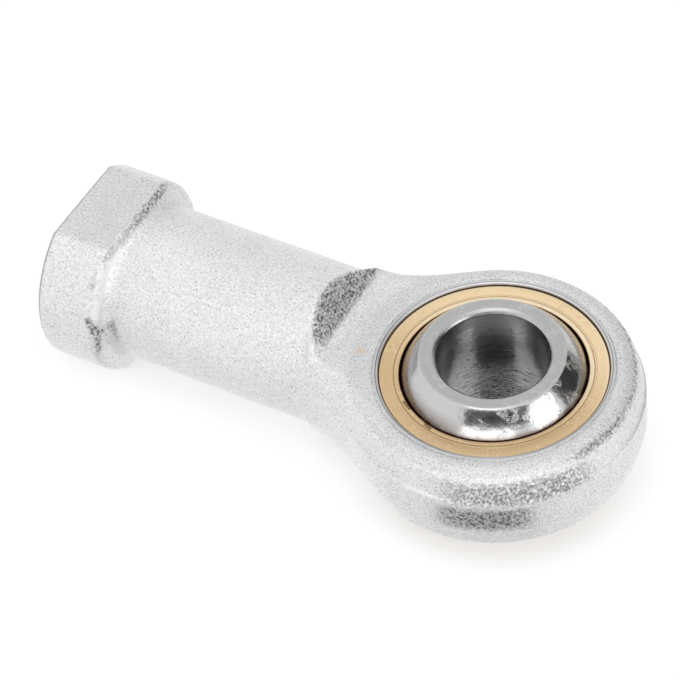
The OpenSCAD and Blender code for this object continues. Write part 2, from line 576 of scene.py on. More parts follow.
    def build(self) -> bpy.types.Object:
        """Makes the housing as one closed piece: two mirrored halves of the outer form, the
        ring round the bore and the threaded hole.

        Returns:
            The finished object.
        """
        half = self.outer_form()
        patch = Patch()
        for side in (1.0, -1.0):
            patch.add(half * [1.0, side, 1.0])
            patch.add(self.ring(half * [1.0, side, 1.0]))
        last = half[-1]
        mouth = np.vstack([last, (last * [1.0, -1.0, 1.0])[-2:0:-1]])
        patch.add(self.threaded_hole(mouth), close=True)
        return patch.piece("eye_housing", Body.EYE, Slot.HOUSING, "housing")


@dataclass
class Race:
    """The turned ring between the eye and the ball."""

    outer_r: float = 12.38
    shoulder: float = 0.2
    half_width: float = 5.4
    seat_r: float = 11.1425
    bevel: float = 0.3
    steps: int = 320

    def profile(self) -> Array:
        """Closed profile: face with its turned step, bevel, spherical seat and outer wall.

        Returns:
            One row of radius and height for each point.
        """
        mouth = math.sqrt(self.seat_r**2 - self.half_width**2)
        low = self.half_width - self.bevel
        seat_mouth = math.sqrt(self.seat_r**2 - low**2)
        start = math.degrees(math.atan2(low, seat_mouth))
        top = self.half_width
        face = np.array([
            [self.outer_r, top - self.shoulder], [self.outer_r - 0.05, top - 0.12],
            [self.outer_r - self.shoulder, top - 0.02], [self.outer_r - 0.30, top],
            [mouth + 1.08, top], [mouth + 1.05, top - 0.012], [mouth + 1.01, top - 0.012],
            [mouth + 0.98, top], [mouth + 0.90, top - 0.002], [mouth + 0.85, top - 0.03],
            [mouth + 0.79, top - 0.03], [mouth + 0.74, top - 0.008], [mouth + 0.40, top - 0.012],
            [mouth + self.bevel, top - 0.03], [mouth + 0.22, top - 0.08],
        ])
        seat = arc((0.0, 0.0), self.seat_r, start, -start, 36)
        return np.vstack([face, seat, face[::-1] * [1.0, -1.0]])

    def build(self) -> bpy.types.Object:
        """Turns the profile into the closed ring.

        Returns:
            The finished object.
        """
        profile = self.profile()
        patch = Patch()
        patch.add(turned(np.vstack([profile, profile[:1]]), self.steps), close=True)
        return patch.piece("bronze_race", Body.EYE, Slot.RACE, "race")


@dataclass
class Ball:
    """The polished ball with its flat side faces and its bore."""

    radius: float = 11.1125
    half_width: float = 8.0
    bore_r: float = 6.0
    chamfer: float = 0.45
    edge: float = 0.15
    steps: int = 320

    def profile(self) -> Array:
        """Closed profile: sphere, small rounded edge, flat face, chamfer and bore.

        Returns:
            One row of radius and height for each point.
        """
        top = self.half_width
        face_r = math.sqrt(self.radius**2 - top**2)
        start = math.degrees(math.atan2(top - 0.13, math.sqrt(self.radius**2 - (top - 0.13) ** 2)))
        sphere = arc((0.0, 0.0), self.radius, -start, start, 96)
        face = np.array([
            [face_r + 0.06, top - 0.07], [face_r - 0.02, top - 0.025], [face_r - self.edge, top],
            [face_r - 0.35, top], [self.bore_r + self.chamfer + 0.12, top],
            [self.bore_r + self.chamfer, top - 0.012], [self.bore_r + 0.05, top - 0.37],
            [self.bore_r + 0.008, top - self.chamfer], [self.bore_r, top - 0.6],
        ])
        bore = np.stack([np.full(9, self.bore_r), np.linspace(top - 0.6, 0.6 - top, 9)], axis=-1)
        return np.vstack([sphere, face, bore[1:-1], face[::-1] * [1.0, -1.0]])

    def build(self) -> bpy.types.Object:
        """Turns the profile into the closed ball.

        Returns:
            The finished object.
        """
        profile = self.profile()
        patch = Patch()
        patch.add(turned(np.vstack([profile, profile[:1]]), self.steps), close=True)
        return patch.piece("swivel_ball", Body.BALL, Slot.BALL, "ball")


# Node trees

NUMBER_FROM_VECTORS = ("LENGTH", "DISTANCE", "DOT_PRODUCT")


def plain(level: float) -> Colour:
    """The grey of one level, as a colour."""
    return level, level, level, 1.0


@dataclass
class Wiring:
    """A node tree that is being built, with a short call for each kind of node used here."""

    tree: bpy.types.NodeTree

    def node(self, kind: str, values: dict[str | int, Value] | None = None,
             **settings: object) -> bpy.types.Node:
        """Adds a node, sets its own options and feeds its sockets.

        Args:
            kind: Type of the node.
            values: What goes into each fed socket, by the socket's name or number.
            settings: The node's own options.

        Returns:
            The node.
        """
        node = self.tree.nodes.new(kind)
        for name, setting in settings.items():
            setattr(node, name, setting)
        for key, value in (values or {}).items():
            self.plug(node.inputs[key], value)
        return node

    def plug(self, socket: Socket, value: Value) -> None:
        """Links a socket to another one, or sets its plain value.

        Args:
            socket: The socket that is fed.
            value: The other socket, or a number, a vector or a colour.
        """
        if isinstance(value, bpy.types.NodeSocket):
            self.tree.links.new(value, socket)
        else:
            socket.default_value = value

    def math(self, operation: str, *values: Value) -> Socket:
        """Works out one value from up to three others."""
        return self.node("ShaderNodeMath", dict(enumerate(values)), operation=operation).outputs[0]

    def vector(self, operation: str, *values: Value) -> Socket:
        """Works out one vector, or its length, from up to three others."""
        node = self.node("ShaderNodeVectorMath", dict(enumerate(values)), operation=operation)
        return node.outputs["Value" if operation in NUMBER_FROM_VECTORS else "Vector"]

    def scaled(self, vector: Value, factor: Value) -> Socket:
        """A vector times a number."""
        values = {"Vector": vector, "Scale": factor}
        return self.node("ShaderNodeVectorMath", values, operation="SCALE").outputs["Vector"]

    def step(self, value: Value, low: float, high: float) -> Socket:
        """Smooth step of a value from 0 at low to 1 at high; low may be the larger one."""
        values = {"Value": value, "From Min": low, "From Max": high}
        return self.node("ShaderNodeMapRange", values, interpolation_type="SMOOTHSTEP").outputs[0]

    def inside(self, value: Value, low: float, high: float, soft: float) -> Socket:
        """Mask of the values between two limits, soft on either side of each limit."""
        rise = self.step(value, low - soft, low + soft)
        return self.math("MULTIPLY", rise, self.step(value, high + soft, high - soft))

    def product(self, *values: Value) -> Socket:
        """All values multiplied."""
        return reduce(lambda done, value: self.math("MULTIPLY", done, value), values)

    def sum(self, *values: Value) -> Socket:
        """All values added."""
        return reduce(lambda done, value: self.math("ADD", done, value), values)

    def largest(self, *values: Value) -> Socket:
        """The largest of the values."""
        return reduce(lambda done, value: self.math("MAXIMUM", done, value), values)

    def less(self, share: Value) -> Socket:
        """What a share leaves of one."""
        return self.math("SUBTRACT", 1.0, share)

    def swing(self, value: Value, gain: float, middle: float = 0.5) -> Socket:
        """How far a value lies from its middle, times a gain."""
        return self.math("MULTIPLY", self.math("SUBTRACT", value, middle), gain)

    def dim(self, level: Value, mask: Value, share: float) -> Socket:
        """A level, less a share of it where the mask is one."""
        return self.math("MULTIPLY", level, self.less(self.math("MULTIPLY", mask, share)))

    def noise(self, place: Value, size: Value, detail: float = 2.0, rough: float = 0.5,
              output: str = "Fac") -> Socket:
        """Noise from 0 to 1.

        Args:
            place: The place on the part.
            size: Rough size of its blotches.
            detail: How many finer layers it has.
            rough: How strong each layer is against the one before.
            output: Name of the output, a number or a colour.

        Returns:
            The noise.
        """
        values = {"Vector": place, "Scale": self.math("DIVIDE", 1.0, size), "Detail": detail,
                  "Roughness": rough}
        return self.node("ShaderNodeTexNoise", values, noise_dimensions="3D").outputs[output]

    def mix(self, share: Value, first: Value, second: Value) -> Socket:
        """Colour between a first one, at 0, and a second one, at 1."""
        return self.node("ShaderNodeMix", {0: share, 6: first, 7: second}, data_type="RGBA").outputs[2]

    def blend(self, share: Value, first: Value, second: Value) -> Socket:
        """Number between a first one, at 0, and a second one, at 1."""
        return self.node("ShaderNodeMix", {0: share, 2: first, 3: second}, data_type="FLOAT").outputs[0]

    def effect(self, name: str, **inputs: Value) -> dict[str, Socket]:
        """Places one of the shared effects and gives its outputs by name."""
        node = self.node("ShaderNodeGroup", inputs, node_tree=bpy.data.node_groups[name])
        return {socket.name: socket for socket in node.outputs}


def effect_group(name: str, inputs: dict[str, str], outputs: Sequence[str]) -> tuple[
        Wiring, dict[str, Socket], dict[str, Socket]]:
    """Starts a shared effect as a node group.

    Args:
        name: Name of the group.
        inputs: Kind of socket for each named input.
        outputs: Names of the outputs, all of them numbers.

    Returns:
        The group's wiring, its inner input sockets and its inner output sockets, by name.
    """
    tree = bpy.data.node_groups.new(name, "ShaderNodeTree")
    for key, kind in inputs.items():
        tree.interface.new_socket(key, in_out="INPUT", socket_type=kind)
    for key in outputs:
        tree.interface.new_socket(key, in_out="OUTPUT", socket_type="NodeSocketFloat")
    wiring = Wiring(tree)
    start, end = wiring.node("NodeGroupInput"), wiring.node("NodeGroupOutput")
    return wiring, {s.name: s for s in start.outputs}, {s.name: s for s in end.inputs}


def part_place() -> None:
    """Makes the effect that measures a place on the part: its coordinates, its height over or
    under the middle plane, and how far it is from the axes of the bore and the shank."""
    w, given, out = effect_group("part_place", {"Place": "NodeSocketVector"}, (
        "X", "Y", "Z", "Height", "From bore", "From shank"))
    parts = w.node("ShaderNodeSeparateXYZ", {0: given["Place"]})
    for key in "XYZ":
        w.plug(out[key], parts.outputs[key])
    w.plug(out["Height"], w.math("ABSOLUTE", parts.outputs["Z"]))
    for key, mask in (("From bore", (1.0, 1.0, 0.0)), ("From shank", (0.0, 1.0, 1.0))):
        w.plug(out[key], w.vector("LENGTH", w.vector("MULTIPLY", given["Place"], mask)))


def blasted_grain(pepper_share: float = 0.8, pepper_limits: tuple[float, float] = (0.58, 0.72),
                  coarse_share: float = 1.35, coarse_limits: tuple[float, float] = (0.36, 0.58),
                  drift_size: float = 7.0) -> None:
    """Makes the effect of a blasted surface: its grain, specks, coarse grains and slow drift.

    Args:
        pepper_share: Size of the specks as a share of the grain's.
        pepper_limits: Noise at which a speck starts and is full.
        coarse_share: Size of the coarse grains as a share of the grain's.
        coarse_limits: Noise at which a coarse grain starts and is full.
        drift_size: Size of the drift in millimetres.
    """
    w, given, out = effect_group("blasted_grain", {
        "Place": "NodeSocketVector", "Size": "NodeSocketFloat"}, ("Grain", "Pepper", "Coarse", "Drift"))
    place, size = given["Place"], given["Size"]
    w.plug(out["Grain"], w.noise(place, size, 3.0, 0.65))
    specks = w.noise(place, w.math("MULTIPLY", size, pepper_share), 1.0)
    w.plug(out["Pepper"], w.step(specks, *pepper_limits))
    coarse = w.noise(place, w.math("MULTIPLY", size, coarse_share), 3.0, 0.7)
    w.plug(out["Coarse"], w.step(coarse, *coarse_limits))
    w.plug(out["Drift"], w.noise(place, drift_size, 3.0))


def lathe_lines() -> None:
    """Makes the effect of turned lines, a noise along the tool's way with a given pitch."""
    w, given, out = effect_group("lathe_lines", {
        "Along": "NodeSocketFloat", "Pitch": "NodeSocketFloat"}, ("Line",))
    fine = w.node("ShaderNodeTexNoise", {
        "W": given["Along"], "Scale": w.math("DIVIDE", 1.0, given["Pitch"]), "Detail": 2.0,
    }, noise_dimensions="1D")
    w.plug(out["Line"], fine.outputs["Fac"])


def scratches(edge: tuple[float, float] = (0.03, 0.008), area_size: float = 1.6,
              area_limits: tuple[float, float] = (0.5, 0.62)) -> None:
    """Makes the effect of fine scratches, the lines where a stretched noise crosses its middle,
    within the areas of a second noise.

    Args:
        edge: How far from its middle the noise is where a scratch starts and where it is full.
        area_size: Size of the scratched areas in millimetres.
        area_limits: Noise at which an area starts and is full.
    """
    w, given, out = effect_group("scratches", {
        "Place": "NodeSocketVector", "Turn": "NodeSocketVector", "Size": "NodeSocketVector",
    }, ("Scratch",))
    drawn = w.node("ShaderNodeMapping", {
        "Vector": given["Place"], "Rotation": given["Turn"], "Scale": given["Size"],
    }, vector_type="TEXTURE")
    ridge = w.math("ABSOLUTE", w.math("SUBTRACT", w.noise(drawn.outputs[0], 1.0), 0.5))
    there = w.step(w.noise(given["Place"], area_size), *area_limits)
    w.plug(out["Scratch"], w.math("MULTIPLY", w.step(ridge, *edge), there))


@dataclass
class Surface:
    """A material that is being built, with the place on the part in millimetres."""

    name: str
    material: bpy.types.Material = field(init=False)
    wiring: Wiring = field(init=False)
    shader: bpy.types.Node = field(init=False)
    place: Socket = field(init=False)
    at: dict[str, Socket] = field(init=False)

    def __post_init__(self) -> None:
        """Starts the material with its one shader and its place on the part."""
        self.material = bpy.data.materials.new(self.name)
        self.material.use_nodes = True
        self.wiring = Wiring(self.material.node_tree)
        self.shader = self.material.node_tree.nodes["Principled BSDF"]
        place = self.wiring.node("ShaderNodeTexCoord").outputs["Object"]
        self.place = self.wiring.scaled(place, 1.0 / MM)
        self.at = self.wiring.effect("part_place", Place=self.place)

    def grey(self, level: Value, tint: Point = (1.0, 1.0, 1.0)) -> Socket:
        """Colour of one level, times a slight tint.

        Args:
            level: The level.
            tint: Shares of the level in red, green and blue.

        Returns:
            The colour.
        """
        w = self.wiring
        levels = {number: w.math("MULTIPLY", level, share) for number, share in enumerate(tint)}
        return w.node("ShaderNodeCombineColor", levels).outputs[0]

    def set(self, **values: Value) -> None:
        """Plugs or sets the shader's sockets, named with underscores for spaces."""
        for key, value in values.items():
            self.wiring.plug(self.shader.inputs[key.replace("_", " ")], value)

    def relief(self, height: Value, depth: float) -> None:
        """Bumps the surface by a height from 0 to 1, depth in millimetres."""
        values = {"Strength": 1.0, "Distance": depth * MM, "Height": height}
        self.set(Normal=self.wiring.node("ShaderNodeBump", values).outputs["Normal"])

    def dress(self, piece: bpy.types.Object) -> None:
        """Gives a piece this material.

        Args:
            piece: The piece.
        """
        piece.data.materials.clear()
        piece.data.materials.append(self.material)
        LOG.info("%s: finished with %s", piece.name, self.name)


@dataclass(frozen=True)
class Region:
    """A place on the part: the product of soft limits on its distances, in millimetres, and of
    a sector of the head.

    Attributes:
        rises: For a distance, where the mask is nought and where it is one.
        spans: For a distance, the two limits of the mask and how soft they are.
        sector: Direction of a sector's middle from the +X axis, the angle from there within
            which the mask is one, and that past which it is nought, in degrees.
        strength: The mask's largest value.
    """

    rises: dict[str, tuple[float, float]] = field(default_factory=dict)
    spans: dict[str, tuple[float, float, float]] = field(default_factory=dict)
    sector: tuple[float, float, float] | None = None
    strength: float = 1.0

    def mask(self, s: Surface, at: dict[str, Socket] | None = None) -> Socket:
        """Works out the mask of the place.

        Args:
            s: The material.
            at: Distances where the limits have torn edges; a sector's edges never have.

        Returns:
            The mask.
        """
        w, at = s.wiring, at or s.at
        parts = [self.sector_mask(s)] if self.sector else []
        parts += [w.step(at[key], *limits) for key, limits in self.rises.items()]
        parts += [w.inside(at[key], *limits) for key, limits in self.spans.items()]
        if self.strength != 1.0:
            parts.append(self.strength)
        return w.product(*parts)

    def sector_mask(self, s: Surface) -> Socket:
        """Mask of the sector: a step on the cosine of the angle from its middle.

        Args:
            s: The material.

        Returns:
            The mask.
        """
        w, at = s.wiring, s.at
        middle, full, none = (math.radians(angle) for angle in self.sector)
        along = w.sum(w.math("MULTIPLY", at["X"], math.cos(middle)),
                      w.math("MULTIPLY", at["Y"], math.sin(middle)))
        return w.step(w.math("DIVIDE", along, at["From bore"]), math.cos(none), math.cos(full))


@dataclass(frozen=True)
class Stroke:
    """A straight mark between two points on the part."""

    start: Point
    end: Point
    half: float
    soft: float
    strength: float = 1.0

    def mask(self, s: Surface, place: Socket) -> Socket:
        """Works out the mask, one within half its width of the line and soft past that.

        The nearest point of the line is its start plus a share of its run. The share is the
        run's part in the way from the start to the place, kept between nought and one.

        Args:
            s: The material.
            place: The place on the part.

        Returns:
            The mask.
        """
        w = s.wiring
        run = tuple(float(v) for v in np.subtract(self.end, self.start))
        away = w.vector("SUBTRACT", place, self.start)
        share = w.math("DIVIDE", w.vector("DOT_PRODUCT", away, run), float(np.dot(run, run)))
        share = w.math("MINIMUM", w.math("MAXIMUM", share, 0.0), 1.0)
        left = w.vector("LENGTH", w.vector("SUBTRACT", away, w.scaled(run, share)))
        return w.math("MULTIPLY", w.step(left, self.half + self.soft, self.half), self.strength)


@dataclass(frozen=True)
class BlastedSteel:
    """Zinc plated forging: pale blasted grain, coarser in its hollows, with painted dark
    reflections there, on the front of the head's side and along the end edge, painted
    highlights along some edges, painted shade on its flat faces and in the gap by the race,
    a smooth staked lip, and bright turned metal in the thread and on the end face."""

    form: Housing
    pale: float = 0.875
    # Level of the painted dark reflections and of the crack marks.
    dark: float = 0.07
    tint: Point = (0.995, 1.0, 1.01)
    brassy: Colour = (0.80, 0.52, 0.28, 1.0)
    grain: float = 0.23
    grain_contrast: float = 0.95
    pepper_dark: float = 0.3
    drift_contrast: float = 0.14
    grain_depth: float = 0.16
    coarse_depth: float = 0.24
    tear: float = 0.4
    facing_dark: float = 0.1
    patch_reflection_dark: float = 0.35
    glint_lift: float = 0.25
    side_highlight: float = 0.3
    end_edge_reflection_level: float = 0.2
    groove_level: float = 0.15
    gap_shade_level: float = 0.1
    thread_level: float = 0.5
    lip_start: float = 12.1
    lip_margin: float = 0.02
    lip_soft: float = 0.03
    lip_dark: float = 0.06
    groove_margin: float = 0.06
    groove_soft: float = 0.04
    groove_patches: tuple[float, float] = (0.72, 0.45)
    groove_strength: float = 0.3
    turned_pitch: float = 0.16
    turned_level: float = 0.55
    turned_contrast: float = 0.35
    turned_depth: float = 0.012
    roughness: float = 0.36
    side_roughness: float = 0.2
    side_gloss: float = 0.6
    bright_roughness: float = 0.3
    lip_roughness: float = 0.42
    rubbed_spot: Point = (-13.9, -3.9, 5.75)
    rubbed_r: tuple[float, float] = (0.75, 0.25)
    rubbed_strength: float = 0.5
    near_face: Region = Region({"Height": (5.2, 5.3)})
    thread: Region = Region({"From shank": (6.5, 6.3), "X": (-24.0, -24.5)})
    end: Region = Region({"X": (-50.9, -50.97), "From shank": (10.4, 10.2)})
    # Painted dark reflection along the collar's rounded end edge.
    end_edge: Region = Region(spans={"X": (-50.95, -50.5, 0.12)}, strength=0.6)
    # The flats and the head's faces get painted shade.
    flats: Region = Region({"Height": (9.3, 9.38)})
    head_face: Region = Region({"Height": (5.05, 5.2), "From bore": (16.0, 14.5)})
    # Painted shade in the gap between the lip and the race, in the sector towards +X.
    gap: Region = Region(spans={"From bore": (11.9, 12.22, 0.06)}, sector=(28.0, 40.0, 95.0),
                         strength=0.7)
    # Painted dark reflection on the shoulder's slope.
    shoulder: Region = Region({"From slope": (0.45, 0.15), "Height": (5.6, 6.3),
                               "X": (-17.0, -17.9), "Y": (-6.1, -4.9)}, strength=0.9)
    # Painted dark reflection along the line under the collar's flats, stronger towards +Y.
    under_flats_reflection: Region = Region(spans={"X": (-43.95, -43.2, 0.25), "Height": (8.45, 9.3, 0.2)})
    under_flats_deepen: tuple[float, float] = (-2.5, 2.5)
    under_flats_dark: tuple[float, float] = (0.35, 0.95)
    # Painted dark reflections on the front of the head's side, with painted highlight grains between
    # them.
    head_side_reflection: Region = Region({"From bore": (14.6, 15.1)}, {"Z": (1.9, 4.5, 0.6)},
                               (-54.0, 16.0, 38.0), 0.68)
    # Painted dark reflection, the darkest one, under the parting line at the front.
    patch: Region = Region({"From bore": (15.5, 15.8)}, {"Z": (-1.6, 1.4, 0.7)},
                           (-67.0, 6.0, 23.0), 0.95)
    # Painted dark reflection along the face's far edge.
    far_edge_reflection: Region = Region({"Height": (4.5, 4.8)}, {"From bore": (14.6, 14.9, 0.2)},
                              (18.0, 30.0, 56.0))
    cracks: tuple[Stroke, ...] = (
        Stroke((-44.2, -10.7, 3.0), (-43.5, -10.25, 0.6), 0.28, 0.35),
        Stroke((-43.5, -10.25, 0.6), (-43.7, -10.5, -1.9), 0.2, 0.35),
        Stroke((-43.55, -10.2, 0.6), (-43.35, -9.2, 0.6), 0.12, 0.3, 0.8),
        Stroke((-43.35, -9.2, 0.6), (-42.5, -8.6, 1.5), 0.1, 0.3, 0.8),
        Stroke((-42.5, -8.65, 1.4), (-42.2, -8.75, -0.5), 0.12, 0.35, 0.6),
        Stroke((-46.4, -10.5, 3.2), (-44.3, -10.5, 3.1), 0.02, 0.14, 0.35),
        Stroke((-44.35, -6.3, 8.7), (-44.35, -8.9, 6.3), 0.1, 0.3, 0.3),
    )
    # Painted highlights along the shoulder's crest, the parting line and the bend under the collar's
    # flats.
    crest: Region = Region({"Y": (-2.0, -3.6), "Z": (5.4, 6.0)}, {"Slope": (-0.5, -0.1, 0.2)})
    parting: Region = Region({"From bore": (15.4, 15.6)}, {"Z": (2.1, 2.42, 0.12)},
                             (-66.0, 16.0, 34.0))
    bend: Region = Region({"Z": (2.2, 3.0), "Y": (-2.6, -4.2)},
                          {"Bend": (9.1, 10.3, 0.2), "X": (-43.95, -43.1, 0.2)})
    bend_turns: tuple[float, float] = (6.2, 2.6)
    bend_shift: float = 0.9

    def torn_place(self, s: Surface) -> tuple[Socket, dict[str, Socket]]:
        """Pushes the place on the part to and fro by a noise, which gives marks torn edges.

        Args:
            s: The material.

        Returns:
            The torn place, and its distances. Slope is that from the plane of the slope between
            the head's flat and the shank, and Bend that from the shank's axis, less where the
            bend under the collar's flats lies nearer to it.
        """
        w, form = s.wiring, self.form
        push = w.noise(s.place, self.tear, 3.0, output="Color")
        centred = w.vector("SUBTRACT", push, (0.5, 0.5, 0.5))
        place = w.vector("ADD", s.place, w.scaled(centred, 3.0 * self.tear))
        at = w.effect("part_place", Place=place)
        across = w.math("MULTIPLY", w.math("ADD", at["X"], form.shoulder_foot),
                        math.sin(form.shoulder_angle))
        down = w.swing(at["Height"], math.cos(form.shoulder_angle), form.half_head)
        at["Slope"] = w.math("ADD", across, down)
        at["From slope"] = w.math("ABSOLUTE", at["Slope"])
        shift = w.math("MULTIPLY", w.step(at["Z"], *self.bend_turns), self.bend_shift)
        at["Bend"] = w.math("SUBTRACT", at["From shank"], shift)
        return place, at

    def reflection_and_crack_marks(self, s: Surface, place: Socket,
               at: dict[str, Socket]) -> tuple[Socket, Socket, Socket]:
        """Masks of the places where the grain is coarse, with painted dark reflections there, and of
        the dark cracks at the end of the collar's hollow. The painted reflections lie on the shoulder's
        slope, along the line under the collar's flats, on the side of the head towards the front with
        the patch under its parting line, and along the face's far edge.

        Args:
            s: The material.
            place: The place on the part with its torn edges.
            at: The distances at that place.

        Returns:
            The mask of all those places, that of the patch, which is the darkest painted reflection,
            and that of the head's side, where painted white highlight grains stand between the dark
            ones.
        """
        w = s.wiring
        # Painted dark reflection under the collar's flats, stronger towards +Y.
        deeper = w.blend(w.step(at["Y"], *self.under_flats_deepen), *self.under_flats_dark)
        under_flats_reflection = w.math("MULTIPLY", self.under_flats_reflection.mask(s, at), deeper)
        cracks = [crack.mask(s, place) for crack in self.cracks]
        side, patch = self.head_side_reflection.mask(s, at), self.patch.mask(s, at)
        reflection_and_crack_mark = w.largest(self.shoulder.mask(s, at), under_flats_reflection, *cracks, side, patch,
                          self.far_edge_reflection.mask(s, at))
        return reflection_and_crack_mark, patch, side

    def build(self) -> Surface:
        """Makes the finish.

        Returns:
            The finished material.
        """
        s = Surface("blasted_zinc_steel")
        w, at, form = s.wiring, s.at, self.form
        grain = w.effect("blasted_grain", Place=s.place, Size=self.grain)
        near_face, thread, end = (r.mask(s) for r in (self.near_face, self.thread, self.end))
        lip_end = form.opening_r + form.lip_w
        lip = w.math("MULTIPLY", near_face, w.inside(
            at["From bore"], self.lip_start, lip_end - self.lip_margin, self.lip_soft))
        groove = w.inside(at["From bore"], lip_end + self.groove_margin,
                          lip_end + form.groove_w - self.groove_margin, self.groove_soft)
        groove = w.product(groove, near_face, w.step(grain["Drift"], *self.groove_patches),
                           self.groove_strength)
        blasted = w.less(w.largest(lip, thread, end))
        place, torn = self.torn_place(s)
        reflection_and_crack_mark, patch, side = self.reflection_and_crack_marks(s, place, torn)
        # Painted highlights.
        glint = w.largest(*(mark.mask(s, torn) for mark in (self.crest, self.parting, self.bend)))
        turned = w.effect("lathe_lines", Along=at["From shank"], Pitch=self.turned_pitch)["Line"]

        shade = w.sum(w.swing(grain["Grain"], self.grain_contrast),
                      w.math("MULTIPLY", grain["Pepper"], -self.pepper_dark),
                      w.swing(grain["Drift"], self.drift_contrast))
        level = w.math("ADD", self.pale, w.math("MULTIPLY", shade, blasted))
        # Painted shade on the flat faces.
        shaded_faces = w.largest(self.flats.mask(s), self.head_face.mask(s))
        # Painted dark reflection on the patch under the parting line.
        level = w.dim(w.dim(level, shaded_faces, self.facing_dark), patch, self.patch_reflection_dark)
        # Painted highlights: the glints and the white grains on the head's side.
        lifted = w.sum(level, w.math("MULTIPLY", glint, self.glint_lift),
                       w.math("MULTIPLY", side, self.side_highlight))
        level = w.math("MINIMUM", lifted, 1.0)
        # Painted dark reflections and dark crack marks, dark where the coarse grain is low.
        level = w.blend(w.math("MULTIPLY", reflection_and_crack_mark, w.less(grain["Coarse"])), level, self.dark)
        # Painted dark reflection along the end edge.
        level = w.blend(self.end_edge.mask(s), level, self.end_edge_reflection_level)
        level = w.dim(w.blend(groove, level, self.groove_level), lip, self.lip_dark)
        # Painted shade in the gap by the race.
        level = w.blend(w.math("MULTIPLY", self.gap.mask(s), near_face), level, self.gap_shade_level)
        level = w.blend(thread, level, self.thread_level)
        level = w.blend(end, level, w.math(
            "ADD", self.turned_level, w.math("MULTIPLY", turned, self.turned_contrast)))
        rubbed = w.step(w.vector("DISTANCE", s.place, self.rubbed_spot), *self.rubbed_r)
        rubbed = w.product(rubbed, grain["Coarse"], self.rubbed_strength)
        metal = w.mix(rubbed, s.grey(level, self.tint), self.brassy)

        roughness = w.blend(w.math("MULTIPLY", side, self.side_gloss), self.roughness,
                            self.side_roughness)
        roughness = w.blend(w.largest(thread, end), roughness, self.bright_roughness)
        s.set(Base_Color=metal, Metallic=0.95, Roughness=w.blend(lip, roughness, self.lip_roughness))
        height = w.sum(w.math("MULTIPLY", grain["Grain"], self.grain_depth),
                       w.product(grain["Coarse"], reflection_and_crack_mark, self.coarse_depth))
        s.relief(w.sum(w.math("MULTIPLY", height, blasted),
                       w.product(turned, end, self.turned_depth)), 1.0)
        return s


@dataclass(frozen=True)
class TurnedBronze:
    """Satin bronze with fine turning lines, dark in its edges, with a painted sheen and painted
    highlight rings on its far side.
    """

    light: Colour = (1.0, 0.785, 0.49, 1.0)
    deep: Colour = (0.66, 0.47, 0.26, 1.0)
    painted_highlight: Colour = (1.0, 0.92, 0.75, 1.0)
    edge: Colour = (0.10, 0.035, 0.015, 1.0)
    roughness: float = 0.32
    pitch: float = 0.11
    grain: float = 0.16
    # Painted sheen: the race is lighter towards its far side.
    sheen_side: Region = Region({"Y": (-5.0, 8.0)})
    sheen_gain: float = 0.7
    line_contrast: float = 1.1
    line_middle: float = 0.35
    grain_contrast: float = 0.8
    hatch_turns: tuple[float, float] = (0.5, 2.1)
    hatch_size: Point = (0.16, 2.2, 2.2)
    hatch_gains: tuple[float, float] = (0.6, -0.8)
    # Painted highlight rings at the inner bevel and near the outer rim.
    highlight_rings: tuple[Region, ...] = (Region(spans={"From bore": (10.12, 10.44, 0.05)}),
                                        Region(spans={"From bore": (11.84, 12.0, 0.05)}))
    highlight_gain: float = 0.5
    cut: Region = Region(spans={"From bore": (10.51, 10.60, 0.05)}, strength=0.7)
    far_cut: Region = Region(spans={"From bore": (10.74, 10.80, 0.04)}, strength=0.6)
    rims: tuple[Region, ...] = (Region({"From bore": (12.0, 12.1)}),
                                Region({"From bore": (10.1, 9.98)}))
    nicks: tuple[Stroke, ...] = (Stroke((-6.4, -8.0, 5.4), (-5.4, -8.6, 5.4), 0.1, 0.15),
                                 Stroke((-2.9, -9.8, 5.4), (-2.2, -10.1, 5.4), 0.12, 0.15))
    nick_strengths: tuple[float, float] = (0.9, 0.5)
    relief_depth: float = 0.035

    def build(self) -> Surface:
        """Makes the finish.

        Returns:
            The finished material.
        """
        s = Surface("turned_bronze")
        w, at = s.wiring, s.at
        line = w.effect("lathe_lines", Along=at["From bore"], Pitch=self.pitch)["Line"]
        grain = w.effect("blasted_grain", Place=s.place, Size=self.grain)
        # Painted sheen towards the far side, which also limits the highlight rings and the far cut
        # line.
        side = self.sheen_side.mask(s)
        tone = w.sum(w.math("MULTIPLY", side, self.sheen_gain),
                     w.swing(line, self.line_contrast, self.line_middle),
                     w.swing(grain["Grain"], self.grain_contrast))
        for turn, gain in zip(self.hatch_turns, self.hatch_gains):
            hatch = w.effect("scratches", Place=s.place, Turn=(0.0, 0.0, turn), Size=self.hatch_size)
            tone = w.sum(tone, w.math("MULTIPLY", hatch["Scratch"], gain))
        colour = w.mix(tone, self.deep, self.light)
        # Painted highlight rings on the far side.
        bright = w.largest(*(ring.mask(s) for ring in self.highlight_rings))
        colour = w.mix(w.product(bright, side, self.highlight_gain), colour, self.painted_highlight)
        far_cut = w.math("MULTIPLY", self.far_cut.mask(s), side)
        colour = w.mix(w.largest(self.cut.mask(s), far_cut), colour, self.edge)
        nicks = w.largest(*(nick.mask(s, s.place) for nick in self.nicks))
        nicks = w.math("MULTIPLY", nicks, w.blend(grain["Coarse"], *self.nick_strengths))
        colour = w.mix(nicks, colour, self.edge)
        colour = w.mix(w.largest(*(rim.mask(s) for rim in self.rims)), colour, self.edge)
        s.set(Base_Color=colour, Metallic=0.95, Roughness=self.roughness)
        s.relief(w.math("MULTIPLY", w.sum(line, grain["Grain"]), 0.5), self.relief_depth)
        return s


